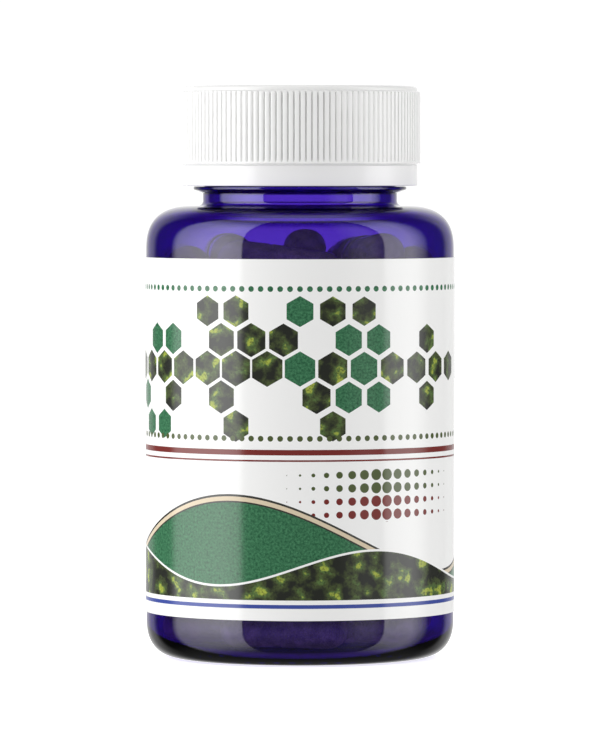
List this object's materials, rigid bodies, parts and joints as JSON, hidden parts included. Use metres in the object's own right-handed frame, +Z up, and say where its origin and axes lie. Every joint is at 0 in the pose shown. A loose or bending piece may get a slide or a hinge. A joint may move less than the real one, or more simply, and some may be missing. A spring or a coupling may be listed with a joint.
{
  "type": "capsule bottle",
  "caption": "Translucent blue supplement bottle with a wraparound label, a ribbed white push-and-turn screw closure and a fill of two-part capsules.",
  "frame": {"origin": "middle of the ring that the bottle stands on, at the level of the ground", "axes": "+Z up along the bottle's axis, -Y out of the label's front, +Y out of its seam"},
  "size_m": [0.057, 0.0571, 0.1053],
  "materials": {
    "cobalt_pet": "blow-moulded PET, translucent cobalt blue, polished",
    "label_film": "white printed film, satin",
    "white_pp": "injection-moulded polypropylene, satin",
    "liner_foam": "foam disc, matt",
    "filled_capsule": "clear two-part shell over dark green powder, glossy"
  },
  "bodies": {
    "filled_bottle": {"bottle": "cobalt_pet", "label": "label_film", "capsule_01": "filled_capsule", "capsule_02": "filled_capsule", "capsule_03": "filled_capsule", "capsule_04": "filled_capsule", "capsule_05": "filled_capsule", "capsule_06": "filled_capsule", "capsule_07": "filled_capsule", "capsule_08": "filled_capsule", "capsule_09": "filled_capsule", "capsule_10": "filled_capsule", "capsule_11": "filled_capsule", "capsule_12": "filled_capsule", "capsule_13": "filled_capsule", "capsule_14": "filled_capsule", "capsule_15": "filled_capsule", "capsule_16": "filled_capsule", "capsule_17": "filled_capsule", "capsule_18": "filled_capsule", "capsule_19": "filled_capsule", "capsule_20": "filled_capsule", "capsule_21": "filled_capsule", "capsule_22": "filled_capsule", "capsule_23": "filled_capsule", "capsule_24": "filled_capsule", "capsule_25": "filled_capsule", "capsule_26": "filled_capsule", "capsule_27": "filled_capsule", "capsule_28": "filled_capsule", "capsule_29": "filled_capsule", "capsule_30": "filled_capsule", "capsule_31": "filled_capsule", "capsule_32": "filled_capsule", "capsule_33": "filled_capsule", "capsule_34": "filled_capsule", "capsule_35": "filled_capsule", "capsule_36": "filled_capsule", "capsule_37": "filled_capsule", "capsule_38": "filled_capsule", "capsule_39": "filled_capsule", "capsule_40": "filled_capsule", "capsule_41": "filled_capsule", "capsule_42": "filled_capsule", "capsule_43": "filled_capsule", "capsule_44": "filled_capsule", "capsule_45": "filled_capsule", "capsule_46": "filled_capsule", "capsule_47": "filled_capsule", "capsule_layer_3": "filled_capsule", "capsule_layer_4": "filled_capsule", "capsule_layer_5": "filled_capsule", "capsule_layer_6": "filled_capsule"},
    "liner_disc": {"liner": "liner_foam"},
    "threaded_cap": {"inner_cap": "white_pp"},
    "grip_shell": {"outer_shell": "white_pp"}
  },
  "joints": [
    {"name": "cap_lift", "type": "slide", "parent": "filled_bottle", "child": "liner_disc", "axis": [0, 0, 1], "range_m": [0, 0.0049]},
    {"name": "cap_turn", "type": "hinge", "parent": "liner_disc", "child": "threaded_cap", "pos_m": [0, 0, 0.0983], "axis": [0, 0, 1], "range_deg": [0, 400]},
    {"name": "cap_push", "type": "slide", "parent": "threaded_cap", "child": "grip_shell", "axis": [0, 0, 1], "range_m": [-0.0013, 0], "stiffness_N_per_m": 2000}
  ],
  "couplings": [
    {"joint": "cap_lift", "follows": "cap_turn", "m_per_rad": 0.00067376}
  ]
}
